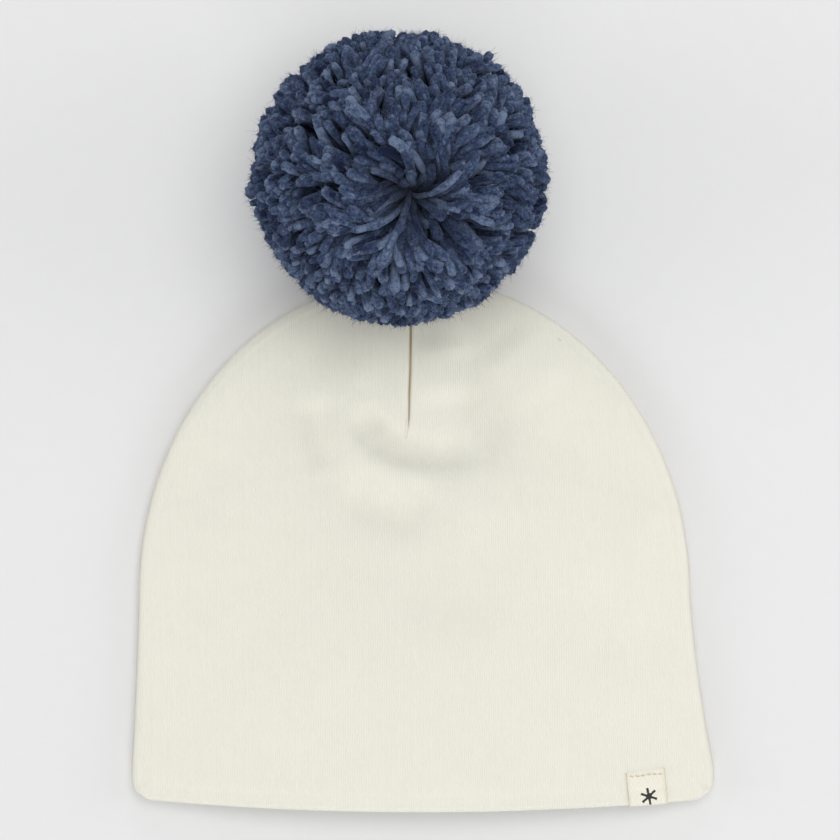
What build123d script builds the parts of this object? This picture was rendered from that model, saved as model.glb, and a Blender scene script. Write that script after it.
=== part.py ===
from build123d import *
import math
import os

# A knitted beanie with a yarn pom-pom, lying flat with its front up. Millimetres.
# X runs across the hem, +Y from the hem to the pom-pom, +Z up from the face it lies on.
# Places along the hat are given as a height above the lowest point of the hem.

# outline of the flat hat
hem_width = 212.0
hem_sag = 4.0
hem_corner = 8.0
hem_edge = 3.0
body_height = 193.5
crown_start = 79.0
crown_width = 200.6
crown_lean = -2.75
side_bow = 0.38

# how far the front stands above the table
side_height = 7.8
front_rise = 9.0
crown_bump = 3.0
crown_bump_height = 165.0
crown_bump_spread = 15.0

# cloth, seams and clearances
outer_cloth = 1.1
lining_cloth = 1.1
layer_gap = 1.3
clearance = 0.1
seam_allowance = 6.0
hem_allowance = 7.0
dart_length = 45.0
dart_across = -4.4

# labels
label_width = 15.0
label_length = 14.0
label_cloth = 0.6
label_across = 82.0
stitch_length = 2.2
stitch_width = 0.5
stitch_thickness = 0.3
stitch_count = 4
stitch_margin = 1.6
care_label_width = 16.0
care_label_length = 30.0
care_label_across = -84.0
care_label_height = 42.0
care_label_cloth = 0.3

# pom-pom and the cord that ties it to the crown
pom_radius = 52.0
pom_flat = 1.0
pom_lean = -4.1
pom_clearance = 2.8
tie_inset = 12.0
tie_across = -4.0
tie_height = 4.9
tie_cord_radius = 0.9
tie_knot_radius = 2.7
wrap_radius = 3.6
wrap_cord_radius = 0.6
stem_radius = 1.2
stem_end_radius = 1.8
running_gap = 0.4
binding_radius = 6.0
binding_cord_radius = 1.2
disc_radius = 6.0
disc_thickness = 1.4
anchor_knot_radius = 1.6
anchor_knot_bite = 0.3
anchor_knot_seat = 0.6
tail_radius = 0.6
tail_length = 12.0
tail_spread = 28.0

# room for cutting shapes, and the grid under the front's curved surface
headroom = 60.0
grid_step = 6.0
grid_margin = 12.0
grid_overrun = 20.0

# worked out from the sizes above
half_hem = hem_width / 2
stack = outer_cloth + layer_gap + lining_cloth
pom_centre_z = pom_radius - pom_flat
pom_reach = math.sqrt(pom_radius**2 - (pom_centre_z - side_height - pom_clearance) ** 2)
pom_centre_height = body_height + pom_reach
half_length = (pom_centre_height + pom_radius) / 2


def place(across, height, z=0.0):
    """A point from its place across the hat, its height above the hem and its z."""
    return Vector(across, height - half_length, z)


def front_z(across, height):
    """The height of the front's outside above the table."""
    width_share = min(abs(across) / half_hem, 1.15) ** 2
    length_share = max(height, 0.0) / body_height
    rise = front_rise * (1 - width_share) * (1 - min(length_share, 1.05) ** 6)
    near_crown = math.hypot(across - tie_across, height - crown_bump_height) / crown_bump_spread
    return side_height + rise + crown_bump * math.exp(-near_crown * near_crown / 2)


def below_front(offset):
    """All that lies under the front's outside, moved up by offset."""
    width = hem_width + 2 * grid_margin
    length = body_height + 2 * grid_overrun
    columns = math.ceil(width / grid_step)
    rows = math.ceil(length / grid_step)
    across = [-width / 2 + width * i / columns for i in range(columns + 1)]
    along = [-grid_overrun + length * j / rows for j in range(rows + 1)]
    points = [[place(x, h, front_z(x, h) + offset) for h in along] for x in across]
    surface = Face.make_surface_from_array_of_points(points, tol=0.005, min_deg=3, max_deg=5)
    return Solid.extrude(surface, Vector(0, 0, -headroom))


def outline(inset=0.0, open_hem=False, hem_inset=0.0):
    """The flat hat's outline, moved inwards; open_hem runs it out past the hem instead."""
    side = half_hem - inset
    across = crown_width / 2 - inset
    up = body_height - crown_start - inset
    left = place(crown_lean - across, crown_start)
    right = place(crown_lean + across, crown_start)
    widest = hem_sag + hem_corner + hem_edge
    wide_left = place(-side, widest)
    wide_right = place(side, widest)
    halfway = (crown_start + widest) / 2
    bow = across + side_bow * (side - across)
    bow_lean = crown_lean * (1 - side_bow)
    low = -headroom / 2 if open_hem else hem_sag + hem_inset
    low_left = place(-side, low)
    low_right = place(side, low)
    turns = [math.radians(angle) for angle in range(0, 181, 15)]
    crown = [
        place(crown_lean + across * math.cos(turn), crown_start + up * math.sin(turn)) for turn in turns
    ]
    edges = [
        Spline(crown),
        ThreePointArc(left, place(bow_lean - bow, halfway), wide_left),
        ThreePointArc(right, place(bow_lean + bow, halfway), wide_right),
        Line(wide_left, low_left),
        Line(wide_right, low_right),
    ]
    if open_hem:
        return make_face(edges + [Line(low_left, low_right)])
    face = make_face(edges + [ThreePointArc(low_left, place(0, hem_inset), low_right)])
    corners = face.vertices().group_by(Axis.Y)[0]
    return fillet(corners, max(hem_corner - inset, 1.0))


def window(left, right, low, high):
    """A rectangle across the hat from left to right and from low to high above the hem."""
    middle = place((left + right) / 2, (low + high) / 2)
    return Pos(middle) * Rectangle(right - left, high - low)


def sheet(region, low, high):
    """Flat cloth between two heights above the table."""
    return extrude(Pos(0, 0, low) * region, high - low)


def front_layer(region, low, high):
    """Cloth that follows the front, between two distances from the front's outside."""
    return (sheet(region, 0, headroom) & below_front(high)) - below_front(low)


def post_hole(radius):
    """The channel for the tie cord down through the crown."""
    return Pos(place(tie_across, tie_point_height, headroom / 2)) * Cylinder(radius, headroom)


tie_point_height = body_height - tie_inset
tie_point = place(tie_across, tie_point_height, front_z(tie_across, tie_point_height) + tie_height)
pom_centre = place(tie_across + pom_lean, pom_centre_height, pom_centre_z)
stem_direction = (pom_centre - tie_point).normalized()
stem_plane = Plane(origin=tie_point, z_dir=stem_direction)
core_plane = Plane(origin=pom_centre, z_dir=stem_direction)


def outer_front():
    """The shaped front of the outer knit, with its sides standing on the back's edge."""
    skin = sheet(outline(), outer_cloth, headroom) & below_front(0)
    inside = sheet(outline(outer_cloth, open_hem=True), 0, headroom) & below_front(-outer_cloth)
    return skin - inside - post_hole(tie_cord_radius + clearance)


def outer_back():
    """The flat back of the outer knit, which lies on the table."""
    return sheet(outline(), 0, outer_cloth)


def lining_front():
    """The front of the lining, one gap inside the outer front."""
    inset = outer_cloth + layer_gap
    skin = sheet(outline(inset), stack, headroom) & below_front(-inset)
    inside = sheet(outline(stack, open_hem=True), 0, headroom) & below_front(-stack)
    return skin - inside - post_hole(tie_cord_radius + clearance)


def lining_back():
    """The back of the lining, one gap above the outer back."""
    return sheet(outline(outer_cloth + layer_gap), outer_cloth + layer_gap, stack)


def side_strip(inset, side):
    """The band along one side of the outline, from above the hem seam to the crown."""
    low = hem_allowance + hem_sag + 1
    high = tie_point_height - disc_radius
    near = crown_lean + side * seam_allowance
    far = side * (half_hem + seam_allowance)
    half = outline(inset) & window(min(near, far), max(near, far), low, high)
    return half - outline(inset + seam_allowance)


def outer_side_seam(side):
    """Seam allowance of the outer knit, folded flat onto its back."""
    region = side_strip(outer_cloth + clearance, side)
    return sheet(region, outer_cloth + clearance, outer_cloth + layer_gap - clearance)


def lining_side_seam(side):
    """Seam allowance of the lining, folded onto its front."""
    region = side_strip(outer_cloth + layer_gap + clearance, side)
    return front_layer(region, -outer_cloth - layer_gap + clearance, -outer_cloth - clearance)


def dart_strip(side):
    """One side of the crown dart, ending short of the tie cord."""
    high = tie_point_height - 4 * tie_cord_radius
    low = high - dart_length
    near = clearance
    if side < 0:
        return window(dart_across - seam_allowance, dart_across - near, low, high)
    return window(dart_across + near, dart_across + seam_allowance, low, high)


def front_dart(side):
    """Dart allowance in the gap behind the outer front."""
    return front_layer(dart_strip(side), -outer_cloth - layer_gap + clearance, -outer_cloth - clearance)


def back_dart(side):
    """Dart allowance in the gap on the outer back."""
    return sheet(dart_strip(side), outer_cloth + clearance, outer_cloth + layer_gap - clearance)


def hem_strip():
    """The band inside the hem where the outer knit and the lining are joined."""
    inset = outer_cloth + layer_gap + clearance
    return outline(inset, hem_inset=clearance) & window(-half_hem, half_hem, 0, hem_allowance + hem_sag)


def hem_seam_front():
    """Seam allowance between the two fronts at the hem."""
    return front_layer(hem_strip(), -outer_cloth - layer_gap + clearance, -outer_cloth - clearance)


def hem_seam_back():
    """Seam allowance between the two backs at the hem."""
    return sheet(hem_strip(), outer_cloth + clearance, outer_cloth + layer_gap - clearance)


def woven_label():
    """A woven tab folded over the front hem: a leg outside, a leg inside and the fold."""
    left = label_across - label_width / 2
    right = label_across + label_width / 2
    fold = clearance + label_cloth
    region = window(left, right, 0, label_length) & outline(0, hem_inset=-fold)
    tab = front_layer(region, -stack - fold, fold)
    hat = window(left - 1, right + 1, 0, label_length + 1) & outline(0, hem_inset=-clearance)
    return tab - front_layer(hat, -stack - clearance, clearance)


def stitch_row(across, width, top):
    """The places of a row of stitches along a label's upper edge."""
    spacing = width / stitch_count
    middles = [across + (i - (stitch_count - 1) / 2) * spacing for i in range(stitch_count)]
    half = stitch_length / 2
    return [window(middle - half, middle + half, top - stitch_width, top) for middle in middles]


def label_stitches():
    """The short stitches that hold the tab's upper edge."""
    base = clearance + label_cloth + clearance / 2
    regions = stitch_row(label_across, label_width, label_length - stitch_margin)
    return Compound(children=[front_layer(region, base, base + stitch_thickness) for region in regions])


def care_label():
    """A blank tape sewn flat inside the lining's back."""
    region = window(
        care_label_across - care_label_width / 2,
        care_label_across + care_label_width / 2,
        care_label_height,
        care_label_height + care_label_length,
    )
    return sheet(region, stack, stack + care_label_cloth)


def care_label_stitches():
    """Stitches along the care label's upper edge."""
    base = stack + care_label_cloth
    top = care_label_height + care_label_length - stitch_margin
    regions = stitch_row(care_label_across, care_label_width, top)
    return Compound(children=[sheet(region, base, base + stitch_thickness) for region in regions])


def backing_disc():
    """A felt disc that spreads the tie cord's pull inside the crown."""
    region = Pos(place(tie_across, tie_point_height)) * Circle(disc_radius)
    disc = front_layer(region, -stack - clearance - disc_thickness, -stack - clearance)
    return disc - post_hole(tie_cord_radius + clearance)


def knot_top_z():
    """Where the anchor knot bears on the backing disc."""
    under_disc = front_z(tie_across, tie_point_height) - stack - 2 * clearance - disc_thickness
    return under_disc - anchor_knot_bite


def anchor_knot():
    """The knot under the disc, flattened on top."""
    centre_z = knot_top_z() - anchor_knot_radius * anchor_knot_seat
    ball = Pos(place(tie_across, tie_point_height, centre_z)) * Sphere(anchor_knot_radius)
    size = 4 * anchor_knot_radius
    cap = Pos(place(tie_across, tie_point_height, knot_top_z() + size / 2)) * Box(size, size, size)
    return ball - cap


def tie_tails():
    """The two cut ends of the tie cord, lying on the lining below the knot."""
    start_z = stack + clearance + tail_radius
    tails = []
    for turn in (-tail_spread, tail_spread):
        away = Vector(0, -1, 0).rotate(Axis.Z, turn)
        start = place(tie_across, tie_point_height, start_z) + away * (anchor_knot_radius + clearance)
        lying = Plane(origin=start, z_dir=away) * Pos(0, 0, tail_length / 2)
        tails.append(lying * Cylinder(tail_radius, tail_length))
    return Compound(children=tails)


def tie_anchor():
    """The cord that comes up through the crown to the knot below the pom-pom."""
    low = knot_top_z()
    high = tie_point.Z - tie_knot_radius - running_gap
    middle = place(tie_across, tie_point_height, (low + high) / 2)
    return Pos(middle) * Cylinder(tie_cord_radius, high - low)


def tie_wrap():
    """The turn of cord around the knot, which tips with the pom-pom."""
    return Pos(tie_point) * Torus(wrap_radius, wrap_cord_radius)


def tie_stem():
    """The knot and the cord that runs on into the core of the pom-pom."""
    length = (pom_centre - tie_point).length
    cord = stem_plane * Pos(0, 0, length / 2) * Cylinder(stem_radius, length)
    end = Pos(pom_centre) * Sphere(stem_end_radius)
    return Pos(tie_point) * Sphere(tie_knot_radius) + cord + end


def pom_binding():
    """The tight ring of cord that holds all the strands at the core."""
    return core_plane * Torus(binding_radius, binding_cord_radius)


def pom_yarn():
    """The ball of cut yarn, flattened where it rests, with room for the cord."""
    length = (pom_centre - tie_point).length
    ball = Pos(pom_centre) * Sphere(pom_radius)
    table = Pos(pom_centre.X, pom_centre.Y, -headroom / 2) * Box(4 * pom_radius, 4 * pom_radius, headroom)
    channel = stem_plane * Pos(0, 0, length / 2) * Cylinder(stem_radius + running_gap, length)
    dimple = Pos(tie_point) * Sphere(wrap_radius + wrap_cord_radius + running_gap + clearance)
    core = Pos(pom_centre) * Sphere(stem_end_radius + running_gap)
    ring = core_plane * Torus(binding_radius, binding_cord_radius + clearance)
    return ball - table - channel - dimple - core - ring


pieces = {
    "outer_front": outer_front(),
    "outer_back": outer_back(),
    "lining_front": lining_front(),
    "lining_back": lining_back(),
    "outer_side_seam_left": outer_side_seam(-1),
    "outer_side_seam_right": outer_side_seam(1),
    "lining_side_seam_left": lining_side_seam(-1),
    "lining_side_seam_right": lining_side_seam(1),
    "outer_front_dart": front_dart(-1),
    "lining_front_dart": front_dart(1),
    "outer_back_dart": back_dart(-1),
    "lining_back_dart": back_dart(1),
    "hem_seam_front": hem_seam_front(),
    "hem_seam_back": hem_seam_back(),
    "woven_label": woven_label(),
    "label_stitches": label_stitches(),
    "care_label": care_label(),
    "care_label_stitches": care_label_stitches(),
    "backing_disc": backing_disc(),
    "anchor_knot": anchor_knot(),
    "tie_tails": tie_tails(),
    "tie_anchor": tie_anchor(),
    "tie_wrap": tie_wrap(),
    "tie_stem": tie_stem(),
    "pom_binding": pom_binding(),
    "pom_yarn": pom_yarn(),
}

os.makedirs("parts", exist_ok=True)
for name, piece in pieces.items():
    export_step(piece, f"parts/{name}.step")

print("tie point", [round(v, 4) for v in tie_point])
print("pom centre", [round(v, 4) for v in pom_centre])
print("stem direction", [round(v, 6) for v in stem_direction])
print("half length", round(half_length, 4))
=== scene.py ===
import math
import random

import bpy
import numpy as np
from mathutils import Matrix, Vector, noise


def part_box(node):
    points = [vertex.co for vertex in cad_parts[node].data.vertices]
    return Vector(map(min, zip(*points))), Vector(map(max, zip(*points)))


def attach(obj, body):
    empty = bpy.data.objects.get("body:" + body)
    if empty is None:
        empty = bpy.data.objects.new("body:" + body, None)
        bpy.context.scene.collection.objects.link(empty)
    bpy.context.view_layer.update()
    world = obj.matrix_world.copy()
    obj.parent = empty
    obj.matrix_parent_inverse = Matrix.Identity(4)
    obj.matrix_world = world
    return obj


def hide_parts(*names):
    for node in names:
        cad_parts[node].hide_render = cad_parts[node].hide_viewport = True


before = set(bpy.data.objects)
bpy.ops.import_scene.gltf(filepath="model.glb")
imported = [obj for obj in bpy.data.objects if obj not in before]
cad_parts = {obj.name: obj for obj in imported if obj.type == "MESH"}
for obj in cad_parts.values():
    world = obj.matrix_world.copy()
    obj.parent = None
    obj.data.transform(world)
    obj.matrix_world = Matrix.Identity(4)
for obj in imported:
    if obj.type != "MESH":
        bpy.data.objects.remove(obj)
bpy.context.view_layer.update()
mm = 0.001

# ---------------------------------------------------------------- table, camera and lights
# The hat lies front up on a pale studio table, seen from straight above. A broad soft light
# overhead, four low reflectors and a bright surround leave only faint shadows beside it.
camera_height = 1.2
view_width = 307 * mm
camera_data = bpy.data.cameras.new("camera")
camera_data.sensor_width = 36
camera_data.lens = camera_data.sensor_width * camera_height / view_width
camera = bpy.data.objects.new("camera", camera_data)
camera.location = (-1.1 * mm, 2.6 * mm, camera_height)
bpy.context.scene.collection.objects.link(camera)
bpy.context.scene.camera = camera


def area_light(name, place, across, power, colour):
    """A round soft light at that place, aimed at the middle of the table."""
    data = bpy.data.lights.new(name, "AREA")
    data.shape = "DISK"
    data.size = across
    data.energy = power
    data.color = colour
    lamp = bpy.data.objects.new(name, data)
    lamp.location = place
    lamp.rotation_euler = (-Vector(place)).to_track_quat("-Z", "Y").to_euler()
    bpy.context.scene.collection.objects.link(lamp)


area_light("key_light", (0.2, 0.3, 1.75), 1.5, 15.8, (1.0, 0.998, 0.99))
for name, place, power in (
    ("left_reflector", (-1.15, 0, 0.42), 4.5),
    ("right_reflector", (1.15, 0.1, 0.42), 4.5),
    ("front_reflector", (0, -1.25, 0.5), 6.5),
    ("back_reflector", (0, 1.25, 0.5), 3.0),
):
    area_light(name, place, 0.9, power, (1, 1, 1))

world = bpy.data.worlds.new("studio")
world.use_nodes = True
world.node_tree.nodes["Background"].inputs["Color"].default_value = (0.98, 0.985, 1.0, 1)
world.node_tree.nodes["Background"].inputs["Strength"].default_value = 0.33
bpy.context.scene.world = world
bpy.context.scene.view_settings.view_transform = "Standard"


def new_material(name, roughness):
    """A material with its node tree and its Principled shader, ready to be wired."""
    material = bpy.data.materials.new(name)
    material.use_nodes = True
    shader = material.node_tree.nodes["Principled BSDF"]
    shader.inputs["Roughness"].default_value = roughness
    return material, material.node_tree, shader


def add_node(tree, kind, **settings):
    """A node of that kind, each setting its own property or the socket of that name."""
    node = tree.nodes.new(kind)
    for key, value in settings.items():
        if hasattr(node, key):
            setattr(node, key, value)
        else:
            node.inputs[key.replace("_", " ")].default_value = value
    return node


def add_noise(tree, place, **settings):
    """How strong a noise texture is at each place, from 0 to 1."""
    texture = add_node(tree, "ShaderNodeTexNoise", **settings)
    tree.links.new(place, texture.inputs["Vector"])
    return texture.outputs["Fac"]


def blend_colours(tree, share, first, second):
    """A colour between two, by share."""
    node = add_node(tree, "ShaderNodeMix", data_type="RGBA")
    for socket, value in zip((node.inputs[0], node.inputs[6], node.inputs[7]), (share, first, second)):
        if isinstance(value, bpy.types.NodeSocket):
            tree.links.new(value, socket)
        else:
            socket.default_value = value
    return node.outputs[2]


def colour_and_relief(tree, shader, colour, height, strength, distance):
    """Wires a colour and a raised surface to the shader."""
    tree.links.new(colour, shader.inputs["Base Color"])
    bump = add_node(tree, "ShaderNodeBump", Strength=strength, Distance=distance)
    tree.links.new(height, bump.inputs["Height"])
    tree.links.new(bump.outputs["Normal"], shader.inputs["Normal"])


table_paint, tree, shader = new_material("table_paint", 0.62)
where = add_node(tree, "ShaderNodeTexCoord")
speckle = add_noise(tree, where.outputs["Object"], Scale=160.0, Detail=3.0)
shade = blend_colours(tree, speckle, (0.735, 0.735, 0.735, 1), (0.755, 0.755, 0.755, 1))
tree.links.new(shade, shader.inputs["Base Color"])

bpy.ops.object.select_all(action="DESELECT")
bpy.ops.mesh.primitive_plane_add(size=6)
table = bpy.context.object
table.name = "table"
table.data.materials.append(table_paint)

# ---------------------------------------------------------------- outer knit, front panel
# The front of the hat: one cut of fine cream jersey, darted at the crown. Its edge is sewn to
# the back panel around the side and crown, and its hem rolls over to the inside.
front_low, front_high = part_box("outer_front")
hem_y = front_low.y
body_height = front_high.y - front_low.y
half_hem = front_high.x
crown_start = 79 * mm
crown_half = 100.3 * mm
crown_lean = -3.1 * mm
side_bow = 0.38
hem_sag = 4 * mm
hem_corner = 8 * mm
widest = 15 * mm
side_height = 7.8 * mm
front_rise = 9 * mm
crown_bump = 3 * mm
crown_bump_place = (-4 * mm, 165 * mm)
crown_bump_spread = 15 * mm
cloth = 1.1 * mm
layer_gap = 1.3 * mm
stack = 2 * cloth + layer_gap
fold_radius = 4.0 * mm
seam_z = side_height / 2
seam_turn = 1.3 * mm
facing = 10 * mm
dart_line = [(-4.4, 178), (-4.6, 160), (-5.3, 142), (-6.3, 136)]
dart_width = 0.45 * mm
dart_pull = 1.25 * mm
crease = 0.22 * mm

# soft folds of the front: each is a ridge or valley that runs through these places, across the
# hat and above the hem, with its half width and its height, all in millimetres
front_folds = [
    ([(-23, 176), (-30, 153), (-28, 134), (-14, 123), (10, 121)], 7.5, 3.0),
    ([(-22, 149), (-20, 141), (-15, 134.5), (-8, 131), (5, 129), (22, 131)], 4.2, -3.6),
    ([(-39, 152), (-38, 137), (-34, 122)], 4.5, -2.4),
    ([(-31, 119), (-14, 112), (5, 104)], 7, -2.4),
    ([(7, 174), (9, 146)], 7, 2.2),
    ([(10, 176), (19, 152), (32, 128)], 5, -2.6),
    ([(27, 172), (46, 148)], 9, 1.8),
    ([(43, 148), (64, 127), (84, 103)], 9, -2.4),
    ([(8, 113), (35, 116)], 11, 1.4),
    ([(-18, 80), (35, 86)], 12, -1.5),
    ([(61, 92), (68, 63), (94, 60)], 9, -1.9),
    ([(-90, 106), (-74, 136)], 9, -1.5),
    ([(-62, 62), (-28, 40)], 16, 1.0),
    ([(60, 24), (96, 30)], 8, -1.0),
]


def from_path(x, h, path):
    """How far each place lies from a line through several places, and how near the line's ends."""
    nearest = np.full(np.shape(x), 1.0)
    along = np.zeros(np.shape(x))
    for number, ((ax, ah), (bx, bh)) in enumerate(zip(path, path[1:])):
        ax, ah, bx, bh = ax * mm, ah * mm, bx * mm, bh * mm
        length = (bx - ax) ** 2 + (bh - ah) ** 2
        share = np.clip(((x - ax) * (bx - ax) + (h - ah) * (bh - ah)) / length, 0, 1)
        distance = np.hypot(x - ax - share * (bx - ax), h - ah - share * (bh - ah))
        along = np.where(distance < nearest, (number + share) / (len(path) - 1), along)
        nearest = np.minimum(nearest, distance)
    ends = np.clip(np.minimum(along, 1 - along) / 0.3, 0, 1)
    return nearest, ends * ends * (3 - 2 * ends)


def softened(distance, radius):
    """A distance that never quite reaches nothing, so that a fold's bends stay round."""
    return np.sqrt(distance**2 + radius**2) - radius


def dart_depth(x, h):
    """How deep the dart's seam pulls the front in, from 0 to 1."""
    distance, _ = from_path(x, h, dart_line)
    closing = np.clip((h - 135.5 * mm) / (4 * mm), 0.3, 1)
    return closing * np.exp(-((distance / dart_width) ** 2))


def slow_waves(x, h, size):
    """Gentle unevenness of hand-laid cloth, from about -1 to 1."""
    flat = [noise.noise((px / size, ph / size, 0.37)) for px, ph in zip(x.ravel(), h.ravel())]
    return np.array(flat).reshape(x.shape)


def hem_line(x):
    """The hem's own height above its lowest point."""
    return hem_sag * (x / half_hem) ** 2


def plain_front(x, h):
    """The height of the front's outside without its folds and waves."""
    width_share = np.minimum(np.abs(x) / half_hem, 1.15) ** 2
    length_share = np.clip(h / body_height, 0, 1.05) ** 6
    bump = np.hypot(x - crown_bump_place[0], h - crown_bump_place[1]) / crown_bump_spread
    top = side_height + front_rise * (1 - width_share) * (1 - length_share)
    return top + crown_bump * np.exp(-bump * bump / 2)


def front_top(x, h):
    """The height of the front's outside, well away from the folded edge."""
    top = plain_front(x, h)
    for path, width, height in front_folds:
        distance, fade = from_path(x, h, path)
        distance = softened(distance, 0.35 * width * mm)
        top = top + height * mm * (0.15 + 0.85 * fade) * np.exp(-((distance / (width * mm)) ** 2))
    top = top + 0.5 * mm * slow_waves(x, h, 38 * mm) + 0.14 * mm * slow_waves(x, h, 11 * mm)
    hem_ditch = np.exp(-(((h - hem_line(x) - 5.2 * mm) / (1.3 * mm)) ** 2))
    return top - 0.35 * mm * hem_ditch


def side_reach(h, side, inset):
    """How far the outline lies from the middle line at a height below the crown."""
    share = np.clip((crown_start - h) / (crown_start - widest), 0, 1)
    crown = crown_half - inset + side * crown_lean
    steep = 4 * side_bow - 1
    return crown + (half_hem - inset - crown) * (steep * share + (1 - steep) * share**2)


def edge_distance(x, h, inset):
    """The distance in from the outline, which is itself moved in by inset."""
    across = crown_half - inset
    up = body_height - crown_start - inset
    dx = x - crown_lean
    dh = np.maximum(h - crown_start, 0)
    ratio = np.sqrt((dx / across) ** 2 + (dh / up) ** 2)
    slope = np.sqrt((dx / across**2) ** 2 + (dh / up**2) ** 2)
    crown = (1 - ratio) * ratio / np.maximum(slope, 1e-6)
    low = np.minimum(side_reach(h, 1, inset) - x, side_reach(h, -1, inset) + x)
    return np.maximum(np.where(h > crown_start, crown, low), 0)


def cloth_z(x, h, depth, front):
    """The height of a layer of the hat, depth inside its outside, round at the folded edge."""
    edge = edge_distance(x, h, depth)
    radius = max(fold_radius - depth, 0.5 * mm)
    rise = np.sqrt(1 - (1 - np.minimum(edge / radius, 1)) ** 2)
    if not front:
        return seam_z - (seam_z - depth) * rise
    ditch = 0.3 * mm * np.exp(-(((edge - 4.6 * mm) / (1.1 * mm)) ** 2)) if depth < 0.5 * mm else 0.0
    return seam_z + (front_top(x, h) - depth - seam_z) * rise - ditch


def outline_side(side, inset):
    """One side of the flat outline, from the hem up and on round to halfway along the crown."""
    low = np.linspace(hem_sag, crown_start, 30)
    turn = np.radians(np.linspace(0, 45, 24))[1:]
    crown_x = (crown_half - inset) * np.cos(turn) + side * crown_lean
    crown_h = crown_start + (body_height - crown_start - inset) * np.sin(turn)
    x = np.concatenate([side_reach(low, side, inset), crown_x])
    return np.stack([side * x, np.concatenate([low, crown_h])], axis=1)


def outline_crown(inset):
    """The crown's outline between the two sides, from left to right."""
    turn = np.radians(np.linspace(135, 45, 60))
    x = crown_lean + (crown_half - inset) * np.cos(turn)
    h = crown_start + (body_height - crown_start - inset) * np.sin(turn)
    return np.stack([x, h], axis=1)


def point_along(path, share):
    """Points at those shares of a path's length."""
    steps = np.linalg.norm(np.diff(path, axis=0), axis=1)
    at = np.concatenate([[0], np.cumsum(steps)]) / steps.sum()
    return np.stack([np.interp(share, at, path[:, 0]), np.interp(share, at, path[:, 1])], axis=-1)


def plan_row(across, up, inset):
    """One row of the hat's flat shape: across from 0 to 1, at one share of the way up."""
    left = point_along(outline_side(-1, inset), np.array([up]))[0]
    right = point_along(outline_side(1, inset), np.array([up]))[0]
    crown = point_along(outline_crown(inset), across)
    x = (2 * across - 1) * (half_hem - inset)
    hem = np.stack([x, hem_line(x)], axis=1)
    a = across[:, None]
    corners = (1 - up) * ((1 - a) * hem[0] + a * hem[-1]) + up * ((1 - a) * crown[0] + a * crown[-1])
    row = (1 - up) * hem + up * crown + (1 - a) * left + a * right - corners
    radius = max(hem_corner - inset, 2 * mm)
    for side in (-1, 1):
        in_x = radius - (side_reach(row[:, 1], side, inset) - side * row[:, 0])
        in_h = radius - (row[:, 1] - hem_line(row[:, 0]))
        near = (in_x > 0) & (in_h > 0)
        shrink = np.maximum(in_x, in_h) / np.maximum(np.hypot(in_x, in_h), 1e-9)
        row[near, 0] -= side * (in_x * (1 - shrink))[near]
        row[near, 1] += (in_h * (1 - shrink))[near]
    return row


def spaced(count, near, edge_steps, focus=None):
    """Shares from 0 to 1, close together at both ends as a fold needs, and around a focus."""
    turn = np.linspace(0, math.pi / 2, edge_steps + 1)
    rim = near * (1 - np.cos(turn))
    inner = np.linspace(near, 1 - near, 2000)
    density = np.ones_like(inner)
    if focus is not None:
        density += 5.5 * np.exp(-(((inner - focus) / 0.014) ** 2))
    grown = np.concatenate([[0], np.cumsum(density)[:-1]])
    middle = np.interp(np.linspace(0, 1, count - 2 * edge_steps), grown / grown[-1], inner)
    return np.concatenate([rim[:-1], middle, (1 - rim[:-1])[::-1]])


def corners_of(piece):
    """Where a new piece's vertices lie."""
    return np.array([tuple(v.co) for v in piece.data.vertices])


def edit_all(piece_edit):
    """Runs one edit operator on all of the active piece."""
    bpy.ops.object.mode_set(mode="EDIT")
    bpy.ops.mesh.select_all(action="SELECT")
    piece_edit()
    bpy.ops.object.mode_set(mode="OBJECT")


def write_mesh(name, grid, flat, flip):
    """A grid of cloth laid through the given points, with its flat place as its UV map."""
    rows, columns = grid.shape[:2]
    bpy.ops.mesh.primitive_grid_add(x_subdivisions=columns - 1, y_subdivisions=rows - 1, size=2)
    piece = bpy.context.object
    piece.name = name
    mesh = piece.data
    co = corners_of(piece)
    i = np.rint((co[:, 0] + 1) / 2 * (columns - 1)).astype(int)
    j = np.rint((co[:, 1] + 1) / 2 * (rows - 1)).astype(int)
    mesh.vertices.foreach_set("co", grid[j, i].ravel())
    corner = np.zeros(len(mesh.loops), int)
    mesh.loops.foreach_get("vertex_index", corner)
    mesh.uv_layers.active.data.foreach_set("uv", flat[j, i][corner].ravel())
    if flip:
        edit_all(bpy.ops.mesh.flip_normals)
    bpy.ops.object.shade_smooth()
    return piece, (i, j)


def thicken(piece, thickness):
    """Gives a sheet of cloth its thickness, inwards from its face."""
    solid = piece.modifiers.new("thickness", "SOLIDIFY")
    solid.thickness = thickness
    solid.offset = -1
    solid.use_rim = True
    bpy.context.view_layer.objects.active = piece
    bpy.ops.object.modifier_apply(modifier=solid.name)


def mark(piece, name, values):
    """A number for each vertex, for the materials to read."""
    attribute = piece.data.attributes.new(name, "FLOAT", "POINT")
    attribute.data.foreach_set("value", np.asarray(values, np.float32).ravel())


def finish_piece(piece, material, body, node):
    """A piece's material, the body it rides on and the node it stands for."""
    piece.data.materials.append(material)
    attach(piece, body)
    if node:
        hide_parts(node)


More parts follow.
